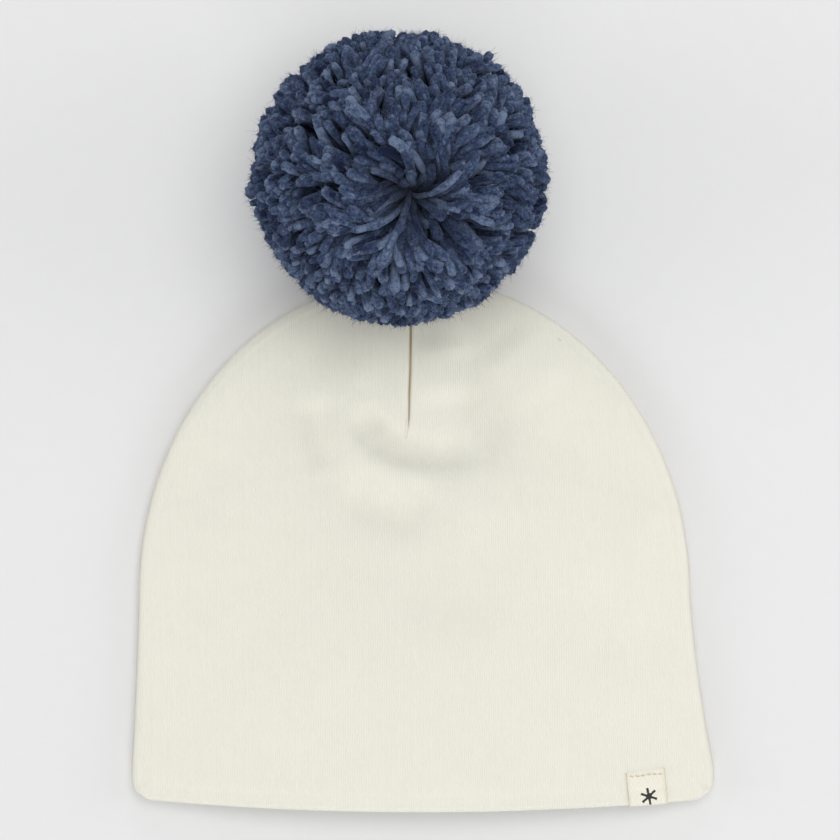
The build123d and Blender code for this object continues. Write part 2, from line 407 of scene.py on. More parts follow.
def cloth_panel(name, front, lining, columns, rows):
    """One panel of the hat. The outer ones roll over the hem to a narrow facing inside."""
    across = spaced(columns, 4.4 / 205, 9, (half_hem - 5 * mm) / (2 * half_hem) if front else None)
    side_length = np.linalg.norm(np.diff(outline_side(1, 0), axis=0), axis=1).sum()
    roll = stack / 2
    path = []
    if lining:
        path += [(facing, stack - 0.9 * mm), (facing + 0.5 * mm, stack)]
        start = facing + 1.5 * mm
    else:
        path += [(facing - 0.2 * mm, stack - 0.9 * mm), (facing - 0.7 * mm, stack)]
        path += [(facing - 0.7 * mm + (roll - facing) * k / 5, stack) for k in range(1, 5)]
        for k in range(13):
            turn = math.pi * (1 - k / 12)
            path.append((roll * (1 - math.sin(turn)), roll * (1 - math.cos(turn))))
        start = roll + 0.9 * mm
    low = start / side_length
    up = low + (1 - low) * spaced(rows, 4.4 / 190, 9)[6:]
    depth = stack if lining else 0.0
    path += [(share * side_length, depth) for share in up]
    grid = np.zeros((len(path), len(across), 3))
    flat = np.zeros((len(path), len(across), 2))
    travelled = 0.0
    for j, (along, depth) in enumerate(path):
        share = min(along / side_length, 1.0)
        top_row = j == len(path) - 1
        row = plan_row(across, share, depth + (seam_turn if top_row else 0))
        z = cloth_z(row[:, 0], row[:, 1], depth, front)
        turned = plan_row(across, share, depth + seam_turn)
        lift = crease if front else -crease
        for end in (0, -1):
            row[end] = turned[end]
            z[end] = seam_z + lift
        if top_row:
            z[:] = seam_z + lift
        if front and not lining:
            deep = dart_depth(row[:, 0], row[:, 1])
            z -= dart_pull * deep
        grid[j] = np.stack([row[:, 0], row[:, 1] + hem_y, z], axis=1)
        if j:
            travelled += np.linalg.norm(grid[j, columns // 2] - grid[j - 1, columns // 2])
        flat[j] = np.stack([row[:, 0], np.full(len(row), travelled)], axis=1)
    piece, (i, j) = write_mesh(name, grid, flat, flip=(front == lining))
    edge = edge_distance(grid[..., 0], grid[..., 1] - hem_y, 0)
    # painted shade in the crease along the sewn edge, and down the dart, whose dark line is partly its
    # brown stitching and partly painted shade in its groove
    seam = 0.35 * np.exp(-((edge / (0.8 * mm)) ** 2))
    if front and not lining:
        seam = np.maximum(seam, dart_depth(grid[..., 0], grid[..., 1] - hem_y))
    mark(piece, "seam", seam[j, i])
    thicken(piece, cloth)
    return piece


knit_loops = bpy.data.node_groups.new("knit_loops", "ShaderNodeTree")
for socket, kind, way in (
    ("Flat Place", "NodeSocketVector", "INPUT"),
    ("Wale Width", "NodeSocketFloat", "INPUT"),
    ("Course Height", "NodeSocketFloat", "INPUT"),
    ("Light Colour", "NodeSocketColor", "INPUT"),
    ("Dark Colour", "NodeSocketColor", "INPUT"),
    ("Seam Shade Colour", "NodeSocketColor", "INPUT"),
    ("Colour", "NodeSocketColor", "OUTPUT"),
    ("Height", "NodeSocketFloat", "OUTPUT"),
):
    knit_loops.interface.new_socket(name=socket, in_out=way, socket_type=kind)


def maths(operation, *values):
    """A maths node whose inputs are numbers or other nodes' sockets, in the sockets' own tree."""
    tree = next(value.id_data for value in values if isinstance(value, bpy.types.NodeSocket))
    node = add_node(tree, "ShaderNodeMath", operation=operation)
    for socket, value in zip(node.inputs, values):
        if isinstance(value, bpy.types.NodeSocket):
            tree.links.new(value, socket)
        else:
            socket.default_value = value
    return node.outputs[0]


def plus(first, second):
    return maths("ADD", first, second)


def minus(first, second):
    return maths("SUBTRACT", first, second)


def times(first, second):
    return maths("MULTIPLY", first, second)


def over(first, second):
    return maths("DIVIDE", first, second)


def fill_knit_loops(tree):
    """Columns of stitches whose two legs lean together, with hairy yarn and faint mottling, and painted
    shade along the seams.
    """
    given = tree.nodes.new("NodeGroupInput")
    result = tree.nodes.new("NodeGroupOutput")
    place = given.outputs["Flat Place"]
    wobble = add_noise(tree, place, Scale=240.0, Detail=2.0)
    split = tree.nodes.new("ShaderNodeSeparateXYZ")
    tree.links.new(place, split.inputs[0])
    drift = times(minus(wobble, 0.5), 0.55)
    column = plus(over(split.outputs["X"], given.outputs["Wale Width"]), drift)
    from_middle = maths("ABSOLUTE", minus(maths("FRACT", column), 0.5))
    rib = minus(1.0, maths("POWER", times(from_middle, 2.0), 2.0))
    course = over(split.outputs["Y"], given.outputs["Course Height"])
    leaning = plus(course, times(from_middle, 1.6))
    leg = maths("SINE", times(plus(leaning, drift), 2 * math.pi))
    fibre = add_noise(tree, place, Scale=2600.0, Detail=4.0, Roughness=0.7)
    height = plus(times(rib, 0.6), times(leg, 0.16))
    height = plus(height, times(fibre, 0.35))
    tree.links.new(height, result.inputs["Height"])
    mottle = add_noise(tree, place, Scale=46.0, Detail=5.0, Roughness=0.6)
    tone = plus(times(height, 0.75), times(mottle, 0.45))
    body = blend_colours(tree, tone, given.outputs["Dark Colour"], given.outputs["Light Colour"])
    # the seam mark blends in the seam colour: painted shade in the seams' creases and the dart's groove,
    # tinted brown like the stitching
    seam = add_node(tree, "ShaderNodeAttribute", attribute_name="seam")
    seam_shade_share = times(seam.outputs["Fac"], 0.95)
    whole = blend_colours(tree, seam_shade_share, body, given.outputs["Seam Shade Colour"])
    tree.links.new(whole, result.inputs["Colour"])


fill_knit_loops(knit_loops)


def knit_material(name, wale, light, dark, seam, strength):
    """Fine jersey, with its stitches from the shared knit, painted shade along its seams and a soft bloom
    of fibre.
    """
    material, tree, shader = new_material(name, 0.92)
    where = add_node(tree, "ShaderNodeUVMap")
    knit = tree.nodes.new("ShaderNodeGroup")
    knit.node_tree = knit_loops
    tree.links.new(where.outputs["UV"], knit.inputs["Flat Place"])
    knit.inputs["Wale Width"].default_value = wale
    knit.inputs["Course Height"].default_value = wale * 0.72
    knit.inputs["Light Colour"].default_value = (*light, 1)
    knit.inputs["Dark Colour"].default_value = (*dark, 1)
    knit.inputs["Seam Shade Colour"].default_value = (*seam, 1)
    colour_and_relief(tree, shader, knit.outputs["Colour"], knit.outputs["Height"], strength, 0.22 * mm)
    shader.inputs["Sheen Weight"].default_value = 0.7
    shader.inputs["Sheen Roughness"].default_value = 0.35
    shader.inputs["Specular IOR Level"].default_value = 0.25
    return material


# the third colour is the seam's painted shade, brown like the dart's stitching
outer_jersey = knit_material(
    "outer_jersey", 0.82 * mm, (0.845, 0.832, 0.738), (0.757, 0.744, 0.643), (0.40, 0.31, 0.18), 0.8
)
outer_front = cloth_panel("hat_front", front=True, lining=False, columns=208, rows=168)
finish_piece(outer_front, outer_jersey, "hat", "outer_front")

# ---------------------------------------------------------------- outer knit, back panel
# The back of the hat, cut from the same jersey, lies flat on the table. Its edge turns in
# against the front's, which leaves the fine crease of the side seam all round.
outer_back = cloth_panel("hat_back", front=False, lining=False, columns=120, rows=104)
finish_piece(outer_back, outer_jersey, "hat", "outer_back")

# ---------------------------------------------------------------- lining
# A second hat of the same jersey inside the first, seam to seam, sewn to the facing that the
# rolled hem leaves. It shows only through the opening.
# the third colour is the painted shade along the lining's seams
lining_jersey = knit_material(
    "lining_jersey", 0.9 * mm, (0.86, 0.84, 0.76), (0.74, 0.72, 0.63), (0.55, 0.48, 0.35), 0.5
)
for side, front in (("front", True), ("back", False)):
    lining = cloth_panel("lining_" + side + "_panel", front, lining=True, columns=104, rows=96)
    finish_piece(lining, lining_jersey, "hat", "lining_" + side)

# ---------------------------------------------------------------- seam allowances
# Where panels are sewn, both cut edges fold flat into the space between hat and lining: along
# the sides, beside each dart, and inside the hem, where they pad the rolled edge.
allowance = layer_gap - 0.3 * mm
allowance_width = 5.8 * mm
strip_start = 13 * mm
dart_foot = 136 * mm
dart_length = 38 * mm
sewn_on = {"outer": [], "lining": []}


def allowance_strip(name, node, layer, front, place_of, across, along):
    """A narrow folded strip of the outer's or the lining's cloth, in the space between the two."""
    grid = np.zeros((along, across, 3))
    flat = np.zeros((along, across, 2))
    for j in range(along):
        s = np.linspace(0, 1, across)
        x, h = place_of(s, j / (along - 1))
        pucker = 0.08 * mm * np.sin(h / (1.9 * mm))
        z = cloth_z(x, h, cloth + 0.15 * mm, front) + (pucker if front else -pucker)
        grid[j] = np.stack([x, h + hem_y, z], axis=1)
        flat[j] = np.stack([x, h], axis=1)
    strip, _ = write_mesh(name, grid, flat, flip=not front)
    mark(strip, "seam", np.zeros(len(strip.data.vertices)))
    thicken(strip, allowance - 0.1 * mm)
    jersey = outer_jersey if layer == "outer" else lining_jersey
    finish_piece(strip, jersey, "hat", node)
    sewn_on[layer].append(name)


def along_side(side, inset):
    """Places on a strip that follows one side of the outline and a third of the crown."""

    def place(s, t):
        if t < 0.5:
            h = np.full_like(s, strip_start + 2 * t * (crown_start - strip_start))
            return side * (side_reach(h, side, inset) - s * allowance_width), h
        turn = np.radians(57 * (2 * t - 1))
        a = crown_half - inset - s * allowance_width
        b = body_height - crown_start - inset - s * allowance_width
        return crown_lean + side * a * np.cos(turn), crown_start + b * np.sin(turn)

    return place


def beside_dart(side):
    """Places on the strip beside the crown dart, on one side of it."""

    def place(s, t):
        h = np.full_like(s, dart_foot + t * dart_length)
        return -5 * mm + side * (0.3 * mm + s * 5.4 * mm), h

    return place


def along_hem(s, t):
    """Places on the strip inside the hem."""
    x = (2 * s - 1) * (half_hem - 4.5 * mm)
    return x, hem_line(x) + (3.2 + 5.6 * t) * mm


for side, word in ((-1, "left"), (1, "right")):
    outer_edge = along_side(side, 1.6 * mm)
    allowance_strip("side_seam_" + word, "outer_side_seam_" + word, "outer", False, outer_edge, 7, 90)
    lining_edge = along_side(side, 3 * mm)
    allowance_strip("lining_seam_" + word, "lining_side_seam_" + word, "lining", True, lining_edge, 7, 90)
for side, layer in ((-1, "outer"), (1, "lining")):
    for panel, front in (("front", True), ("back", False)):
        name = layer + "_" + panel + "_dart"
        allowance_strip(name + "_fold", name, layer, front, beside_dart(side), 7, 40)
for panel, front in (("front", True), ("back", False)):
    name = "hem_seam_" + panel
    allowance_strip(name + "_fold", name, "outer", front, along_hem, 160, 7)

for name, under, strips in (
    ("hat_front", "lining_front_panel", []),
    ("hat_back", "table", sewn_on["outer"]),
    ("lining_front_panel", "lining_back_panel", sewn_on["lining"]),
    ("lining_back_panel", "hat_back", []),
):
    panel = bpy.data.objects[name]

# ---------------------------------------------------------------- woven label
# A small cream tape, woven in a steep twill with a dark snowflake, folded over the hem near one
# side. One leg lies outside and one inside, and a row of stitches holds the upper edge.
label_low, label_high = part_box("woven_label")
label_middle = (label_low.x + label_high.x) / 2 - 0.6 * mm
label_top = 15.0 * mm
label_cloth = 0.45 * mm
label_half = 7.1 * mm
label_slant = 0.10
label_skew = 0.07


def over_hem(x, along, lift):
    """A place on a tape folded over the hem, along up the front, or up the inside if negative."""
    roll = stack / 2
    arc = math.pi / 2 * roll
    hem = hem_line(x)
    depth = np.where(along > 0, -lift, stack + lift)
    rise = np.abs(along)
    turn = np.clip((along + arc) / arc, 0, 2) * math.pi / 2
    in_fold = rise < arc
    from_hem = np.where(in_fold, roll - (roll + lift) * np.sin(turn), rise - arc + roll)
    depth = np.where(in_fold, roll + (roll + lift) * np.cos(turn), depth)
    h = hem + from_hem
    held = cloth_z(x, np.maximum(h, hem + roll), 0.0, True)
    return h, held - depth


across, along = 41, 81
length_up = label_top - hem_line(label_middle) - stack / 2 + math.pi / 2 * stack / 2
grid = np.zeros((along, across, 3))
flat = np.zeros((along, across, 2))
for j in range(along):
    s = (1 - 2 * j / (along - 1)) * length_up
    x = label_middle + np.linspace(-1, 1, across) * label_half
    curl = 0.25 * mm * np.abs(np.linspace(-1, 1, across)) ** 3 * (s > 3 * mm)
    h, z = over_hem(x, np.full(across, s), 0.32 * mm)
    z = z + curl
    x = x - label_slant * (h - 5 * mm)
    h = h + label_skew * (x - label_middle) * np.clip(s / (4 * mm), 0, 1)
    grid[j] = np.stack([x, h + hem_y, z], axis=1)
    flat[j] = np.stack([np.linspace(-1, 1, across) * label_half, np.full(across, s)], axis=1)
label, _ = write_mesh("woven_tab", grid, flat, flip=True)
thicken(label, label_cloth)

label_tape, tree, shader = new_material("label_tape", 0.6)
where = add_node(tree, "ShaderNodeUVMap")
split = tree.nodes.new("ShaderNodeSeparateXYZ")
tree.links.new(where.outputs["UV"], split.inputs[0])
thread = add_noise(tree, where.outputs["UV"], Scale=1500.0, Detail=3.0)
lean = plus(split.outputs["X"], times(split.outputs["Y"], 0.32))
twill = maths("SINE", times(lean, 2 * math.pi / (0.95 * mm)))
weft = maths("SINE", times(split.outputs["Y"], 2 * math.pi / (0.42 * mm)))
height = plus(times(twill, 0.5), times(weft, 0.16))
height = plus(height, times(thread, 0.7))
tone = plus(0.35, times(height, 0.38))
cream = blend_colours(tree, tone, (0.74, 0.70, 0.58, 1), (0.93, 0.91, 0.82, 1))
rim = over(maths("ABSOLUTE", split.outputs["X"]), label_half)
rim = maths("POWER", rim, 14.0)
cream = blend_colours(tree, times(rim, 0.8), cream, (0.58, 0.50, 0.34, 1))
mark_x = minus(split.outputs["X"], 0.4 * mm)
mark_y = minus(split.outputs["Y"], 4.1 * mm)
ragged = times(minus(thread, 0.5), 0.5 * mm)
from_mark = maths("SQRT", plus(maths("POWER", mark_x, 2.0), maths("POWER", mark_y, 2.0)))
in_mark = maths("LESS_THAN", from_mark, 3.1 * mm)
arms = None
for k in range(3):
    turn = math.radians(60 * k + 6)
    off = plus(times(mark_x, math.cos(turn)), times(mark_y, math.sin(turn)))
    arm = maths("LESS_THAN", plus(maths("ABSOLUTE", off), ragged), 0.42 * mm)
    arms = arm if arms is None else maths("MAXIMUM", arms, arm)
heart = maths("LESS_THAN", plus(from_mark, ragged), 1.15 * mm)
snowflake = maths("MAXIMUM", times(arms, in_mark), heart)
colour = blend_colours(tree, snowflake, cream, (0.012, 0.012, 0.014, 1))
colour_and_relief(tree, shader, colour, height, 0.7, 0.18 * mm)
shader.inputs["Sheen Weight"].default_value = 0.15
finish_piece(label, label_tape, "hat", "woven_label")

# ---------------------------------------------------------------- label stitches
# Beige cotton thread: a row of short stitches through the label's upper edge, each a little
# crooked, sunk in at both ends.
thread_colour, tree, shader = new_material("beige_thread", 0.75)
where = add_node(tree, "ShaderNodeTexCoord")
twist = add_node(tree, "ShaderNodeTexWave", Scale=900.0, Distortion=1.5, bands_direction="DIAGONAL")
tree.links.new(where.outputs["Object"], twist.inputs["Vector"])
colour = blend_colours(tree, twist.outputs["Fac"], (0.50, 0.42, 0.27, 1), (0.72, 0.64, 0.46, 1))
colour_and_relief(tree, shader, colour, twist.outputs["Fac"], 0.5, 0.1 * mm)


def stitch_row(name, spots, lengthwise, radius):
    """Short stitches, each a flattened bead of thread lying on the cloth."""
    parts = []
    for x, h, z, turn in spots:
        bpy.ops.mesh.primitive_uv_sphere_add(segments=12, ring_count=8, radius=1)
        bead = bpy.context.object
        bpy.ops.object.mode_set(mode="EDIT")
        bpy.ops.mesh.select_all(action="SELECT")
        bpy.ops.transform.resize(value=(lengthwise, radius, radius * 0.8), center_override=(0, 0, 0))
        bpy.ops.transform.rotate(value=turn, orient_axis="Z", center_override=(0, 0, 0))
        bpy.ops.transform.translate(value=(x, h + hem_y, z))
        bpy.ops.object.mode_set(mode="OBJECT")
        parts.append(bead)
    for bead in parts:
        bead.select_set(True)
    bpy.context.view_layer.objects.active = parts[0]
    bpy.ops.object.join()
    row = bpy.context.object
    row.name = name
    bpy.ops.object.shade_smooth()
    return row


chance = random.Random(8)
spots = []
for k in range(6):
    x = label_middle - 0.8 * mm + (k - 2.5) * 2.1 * mm
    h = label_top - 1.7 * mm + label_skew * (x - label_middle) + chance.uniform(-0.15, 0.15) * mm
    z = float(cloth_z(np.array([x]), np.array([h]), 0.0, True)[0]) + 0.34 * mm
    spots.append((x, h, z, label_skew + chance.uniform(-0.2, 0.2)))
stitches = stitch_row("tab_stitches", spots, 0.85 * mm, 0.27 * mm)
finish_piece(stitches, thread_colour, "hat", "label_stitches")

# ---------------------------------------------------------------- pom-pom strands
# Soft thick-and-thin wool, wound into a hank, tied tightly at its middle and cut: every strand
# starts at the tie, flares away from the two ends of the hank and ends in a fluffy cut tip.
pom_low, pom_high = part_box("pom_yarn")
pom_radius = (pom_high.x - pom_low.x) / 2
pom_middle_x = (pom_high.x + pom_low.x) / 2
pom_centre = np.array([pom_middle_x, pom_high.y - pom_radius, pom_high.z - pom_radius])
hank_axis = np.array([0.11, -0.21, 0.97])
hank_axis /= np.linalg.norm(hank_axis)
stem_low, stem_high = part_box("tie_stem")
strand_count = 3500
strand_radius = 1.5 * mm
strand_levels = [0.0, 0.3, 0.52, 0.7, 0.83, 0.92, 0.975, 1.0]
strand_fullness = [0.45, 0.66, 0.84, 0.94, 1.0, 1.07, 1.04, 0.66]

bpy.ops.mesh.primitive_circle_add(vertices=7, radius=strand_fullness[0], fill_type="NOTHING")
strand = bpy.context.object
strand.name = "one_strand"
bpy.ops.object.mode_set(mode="EDIT")
bpy.ops.mesh.select_all(action="SELECT")
for k in range(1, len(strand_levels)):
    rise = strand_levels[k] - strand_levels[k - 1]
    grow = strand_fullness[k] / strand_fullness[k - 1]
    bpy.ops.mesh.extrude_region_move(TRANSFORM_OT_translate={"value": (0, 0, rise)})
    bpy.ops.transform.resize(value=(grow, grow, 1), center_override=(0, 0, 0))
bpy.ops.mesh.select_all(action="SELECT")
bpy.ops.mesh.fill_holes(sides=7)
bpy.ops.mesh.normals_make_consistent(inside=False)
bpy.ops.object.mode_set(mode="OBJECT")


def unit(vectors):
    """Each vector at a length of one."""
    return vectors / np.maximum(np.linalg.norm(vectors, axis=-1, keepdims=True), 1e-12)


def hank_frame():
    """Two directions square to the hank's axis."""
    first = unit(np.cross([0.0, 1.0, 0.0], hank_axis))
    return first, np.cross(hank_axis, first)


def lift_off(points):
    """Presses what would sink into the table or the crown flat against it, softly."""
    x = points[..., 0]
    h = points[..., 1] - hem_y
    inside = np.where(h > 0, edge_distance(x, h, 0), 0)
    over_hat = np.clip(inside / (2 * mm), 0, 1)
    floor = 0.5 * mm + over_hat * (front_top_smooth(x, h) + 0.9 * mm)
    give = 5 * mm
    z = points[..., 2]
    squashed = floor + give * np.exp(np.minimum((z - floor - give) / give, 0))
    result = points.copy()
    result[..., 2] = np.where(z < floor + give, squashed, z)
    return result


def front_top_smooth(x, h):
    """The front's outside with its main fold only, which is near enough for the strands."""
    path, width, height = front_folds[0]
    distance, _ = from_path(x, h, path)
    return plain_front(x, h) + height * mm * np.exp(-((distance / (width * mm)) ** 2))


towards_hat = unit(np.array([(stem_low.x + stem_high.x) / 2, stem_low.y, stem_low.z]) - pom_centre)


def strand_tips():
    """Evenly strewn directions of the cut ends, pulled a little into clumps."""
    draw = random.Random(41)
    noise.seed_set(41)
    first, second = hank_frame()
    tips = []
    golden = math.pi * (3 - math.sqrt(5))
    for k in range(strand_count):
        up = 1 - 2 * (k + 0.5) / strand_count
        turn = golden * k + draw.uniform(-0.25, 0.25)
        up += draw.uniform(-1, 1) / strand_count * 14
        up = max(-1.0, min(1.0, up))
        flat = math.sqrt(1 - up * up)
        direction = up * hank_axis + flat * (math.cos(turn) * first + math.sin(turn) * second)
        wide = np.array(noise.noise_vector(Vector(direction) * 4.0))
        fine = np.array(noise.noise_vector(Vector(direction) * 10.0 + Vector((7, 3, 1))))
        direction = unit(direction + 0.11 * wide + 0.07 * fine)
        if direction @ towards_hat > math.cos(math.radians(7)):
            continue
        from_pole = math.degrees(math.acos(min(1.0, abs(float(direction @ hank_axis)))))
        if draw.random() > 0.10 + 0.90 * min(1.0, max(0.0, (from_pole - 7) / 27)) ** 1.4:
            continue
        tips.append(direction)
    return np.array(tips)


def strand_lines(tips):
    """The middle line of each strand at every level of its length."""
    rng = np.random.default_rng(17)
    first, second = hank_frame()
    count = len(tips)
    level = np.array(strand_levels)[None, :]
    pole = np.sign(tips @ hank_axis)
    angle = np.arccos(np.clip(np.abs(tips @ hank_axis), 0, 1))
    turn = np.arctan2(tips @ second, tips @ first)
    near_pole = np.clip((math.radians(56) - angle) / math.radians(26), 0, 1)
    plain_lean = 0.10 + 0.12 * rng.random(count)
    plain_lean = plain_lean * np.clip((math.pi / 2 - angle) / 0.8, 0, 1)
    lean = plain_lean * (1 - near_pole) + near_pole * angle * rng.uniform(0.8, 0.97, count)
    lean = np.minimum(lean, angle * 0.97)
    reach = pom_radius * (1 - 0.16 * np.exp(-((angle / math.radians(20)) ** 2)))
    reach = reach + rng.normal(0, 0.6 * mm, count) - 1.2 * mm
    tufts = np.array([noise.noise(Vector(tip) * 5.5 + Vector((8, 1, 6))) for tip in tips])
    reach = reach + 3.2 * mm * tufts
    strays = rng.random(count) < 0.02
    reach = reach + strays * rng.uniform(1.0, 3.5, count) * mm
    reach = np.where(tips @ towards_hat > 0.1, np.minimum(reach, pom_radius - 0.4 * mm), reach)
    bend = rng.uniform(1.3, 2.0, count)
    locks = np.array([noise.noise(Vector(tip) * 3.4 + Vector((2, 9, 4))) for tip in tips])
    swirl = (1.3 * locks + rng.normal(0, 0.2, count)) / np.maximum(np.sin(angle), 0.45)
    a = angle[:, None] - lean[:, None] * (1 - level ** bend[:, None])
    t = turn[:, None] + swirl[:, None] * (1 - level)
    climb = 1 - 0.32 * near_pole[:, None]
    r = reach[:, None] * (0.27 + 0.73 * level**climb)
    direction = (
        (np.cos(a) * pole[:, None])[..., None] * hank_axis
        + (np.sin(a) * np.cos(t))[..., None] * first
        + (np.sin(a) * np.sin(t))[..., None] * second
    )
    line = direction * r[..., None]
    drift = rng.normal(0, 1, (count, 1, 3)) * (near_pole * 1.9 * mm)[:, None, None]
    line = line + drift * (np.sin(level * math.pi) * 0.9 + 0.25)[..., None]
    wave = rng.uniform(0, 2 * math.pi, (count, 1))
    side = unit(np.cross(direction, hank_axis))
    line = line + side * (np.sin(level * 5.0 + wave) * 0.9 * mm * level)[..., None]
    return pom_centre + line


def sides_of(lines):
    """The way ahead along every line and two directions square to it."""
    ahead = unit(np.gradient(lines, axis=1))
    across = unit(np.cross(ahead, hank_axis + 0.01))
    return ahead, across, np.cross(ahead, across)


def many_copies(name, points, faces):
    """One piece of many equal meshes, whose places are a row of points for each."""
    count, step = points.shape[:2]
    every_face = [[v + step * k for v in face] for k in range(count) for face in faces]
    mesh = bpy.data.meshes.new(name)
    mesh.from_pydata(lift_off(points).reshape(-1, 3).tolist(), [], every_face)
    mesh.shade_smooth()
    piece = bpy.data.objects.new(name, mesh)
    bpy.context.scene.collection.objects.link(piece)
    return piece


def grow_strands(name, lines, radii, tones, pieces):
    """Copies the modelled strand along every line, so many strands to a piece."""
    shape = corners_of(strand)
    faces = [list(f.vertices) for f in strand.data.polygons]
    levels = np.array(strand_levels)
    at = np.clip(shape[:, 2], 0, 1)
    low = np.clip(np.searchsorted(levels, at, side="right") - 1, 0, len(levels) - 2)
    share = ((at - levels[low]) / (levels[low + 1] - levels[low]))[None, :, None]
    round_turn = np.arctan2(shape[:, 1], shape[:, 0])
    for number, members in enumerate(np.array_split(np.arange(len(lines)), pieces)):
        rng = np.random.default_rng(100 + number)
        line = lines[members]
        ahead, across, beside = sides_of(line)
        centre = line[:, low] * (1 - share) + line[:, low + 1] * share
        u = across[:, low] * (1 - share) + across[:, low + 1] * share
        w = beside[:, low] * (1 - share) + beside[:, low + 1] * share
        phase = rng.uniform(0, 2 * math.pi, (len(members), 1))
        ply = 1 + 0.13 * np.cos(2 * round_turn[None, :] + 22 * at[None, :] + phase)
        rough = radii[members][:, None] * (ply + 0.08 * rng.standard_normal((len(members), len(shape))))
        points = centre + rough[..., None] * (u * shape[None, :, :1] + w * shape[None, :, 1:2])
        piece = many_copies(f"{name}_{number + 1}", points, faces)
        shade = 0.07 * (ply - 1) / 0.13 + rng.normal(0, 0.05, (len(members), len(shape)))
        mark(piece, "tone", tones[members][:, None] + shade)
        # how far out from the pom-pom's middle each vertex lies, which the wool material turns into
        # painted shade near the hub
        mark(piece, "outward", np.linalg.norm(points - pom_centre, axis=-1) / pom_radius)
        finish_piece(piece, pom_wool, "pom", None if number else "pom_yarn")


def wool_material():
    """Heathered blue wool: twisted plies, tone that changes along and between strands, fluffy ends, and
    painted shade that darkens the strands towards the middle of the ball.
    """
    material, tree, shader = new_material("pom_wool", 0.95)
    where = add_node(tree, "ShaderNodeTexCoord")
    tone = add_node(tree, "ShaderNodeAttribute", attribute_name="tone")
    outward = add_node(tree, "ShaderNodeAttribute", attribute_name="outward")
    heather = add_noise(tree, where.outputs["Object"], Scale=420.0, Detail=4.0, Roughness=0.65)
    fibre = add_noise(tree, where.outputs["Object"], Scale=2600.0, Detail=3.0, Roughness=0.7)
    flecks = add_noise(tree, where.outputs["Object"], Scale=1150.0, Detail=3.0, Roughness=0.7)
    mix = tone.outputs["Fac"]
    for texture, strength in ((heather, 1.2), (flecks, 1.1), (fibre, 0.5)):
        mix = plus(mix, times(minus(texture, 0.5), strength))
    ramp = tree.nodes.new("ShaderNodeValToRGB")
    ramp.color_ramp.elements[0].position = 0.1
    ramp.color_ramp.elements[0].color = (0.009, 0.015, 0.042, 1)
    ramp.color_ramp.elements[1].position = 0.95
    ramp.color_ramp.elements[1].color = (0.165, 0.217, 0.33, 1)
    middle = ramp.color_ramp.elements.new(0.5)
    middle.color = (0.048, 0.072, 0.143, 1)
    tree.links.new(mix, ramp.inputs["Fac"])
    # painted shade: strands and fibres darken to near black towards the hub, where the ball shades itself
    deep = over(minus(outward.outputs["Fac"], 0.5), 0.46)
    deep = maths("POWER", maths("MINIMUM", maths("MAXIMUM", deep, 0.0), 1.0), 2.6)
    colour = blend_colours(tree, deep, (0.006, 0.009, 0.022, 1), ramp.outputs["Color"])
    colour_and_relief(tree, shader, colour, plus(fibre, times(flecks, 2.0)), 0.8, 0.4 * mm)
    shader.inputs["Sheen Weight"].default_value = 0.16
    shader.inputs["Sheen Roughness"].default_value = 0.4
    shader.inputs["Sheen Tint"].default_value = (0.55, 0.65, 0.9, 1)
    shader.inputs["Specular IOR Level"].default_value = 0.1
    return material


pom_wool = wool_material()
tips = strand_tips()
lines = strand_lines(tips)
chance = np.random.default_rng(5)
strand_radii = strand_radius * chance.uniform(0.82, 1.15, len(lines))
strand_tones = np.clip(chance.normal(0.5, 0.17, len(lines)), 0.05, 0.95)
grow_strands("pom_strands", lines, strand_radii, strand_tones, 4)
bpy.data.objects.remove(strand)

# ---------------------------------------------------------------- pom-pom fuzz
# Fine wool fibres that stand off every strand, most of all at the cut ends, and blur its edge.
# A few longer ones have worked loose and float around the ball.
fuzz_count = 90000
loose_count = 500
bpy.ops.mesh.primitive_grid_add(x_subdivisions=1, y_subdivisions=3, size=2)
fibre = bpy.context.object
fibre_shape = corners_of(fibre)
fibre_faces = [list(f.vertices) for f in fibre.data.polygons]
bpy.data.objects.remove(fibre)


def grow_fuzz(name, count, seed, longest, stand, thickness):
    """Curved fibres that start on the strands, near their cut ends more than lower down."""
    rng = np.random.default_rng(seed)
    ahead, across, beside = sides_of(lines)
    pick = rng.integers(0, len(lines), count)
    level = rng.choice(len(strand_levels), count, p=[0, 0, 0.07, 0.13, 0.2, 0.22, 0.2, 0.18])
    turn = rng.uniform(0, 2 * math.pi, count)[:, None]
    radial = np.cos(turn) * across[pick, level] + np.sin(turn) * beside[pick, level]
    edge = strand_radii[pick] * np.array(strand_fullness)[level] * 0.85
    start = lines[pick, level] + radial * edge[:, None]
    aim = ahead[pick, level] * rng.uniform(0.2, 1.0, (count, 1))
    aim = aim + radial * rng.uniform(0.1, stand, (count, 1))
    aim = unit(aim + rng.normal(0, 0.35, (count, 3)))
    length = (0.35 + 0.65 * rng.random(count) ** 2) * longest
    curl = rng.normal(0, 0.5, (count, 3))
    s = (fibre_shape[:, 1] + 1) / 2
    points = start[:, None] + aim[:, None] * (length[:, None] * s)[..., None]
    points += curl[:, None] * (length[:, None] * s**2)[..., None] * 0.5
    flat = unit(np.cross(aim, rng.normal(0, 1, (count, 3))))
    points += flat[:, None] * (fibre_shape[:, 0] * thickness * (1 - 0.6 * s))[None, :, None]
    over_hat = (start[:, 1] - hem_y < body_height + 5 * mm) & (start[:, 2] < 34 * mm)
    points = points[~over_hat]
    start = start[~over_hat]
    pick = pick[~over_hat]
    count = len(points)
    piece = many_copies(name, points, fibre_faces)
    step = len(fibre_shape)
    mark(piece, "tone", np.repeat(strand_tones[pick] + rng.normal(0.12, 0.16, count), step))
    # how far out each fibre starts, for the same painted shade near the hub
    mark(piece, "outward", np.repeat(np.linalg.norm(start - pom_centre, axis=1) / pom_radius, step))
    finish_piece(piece, pom_wool, "pom", None)


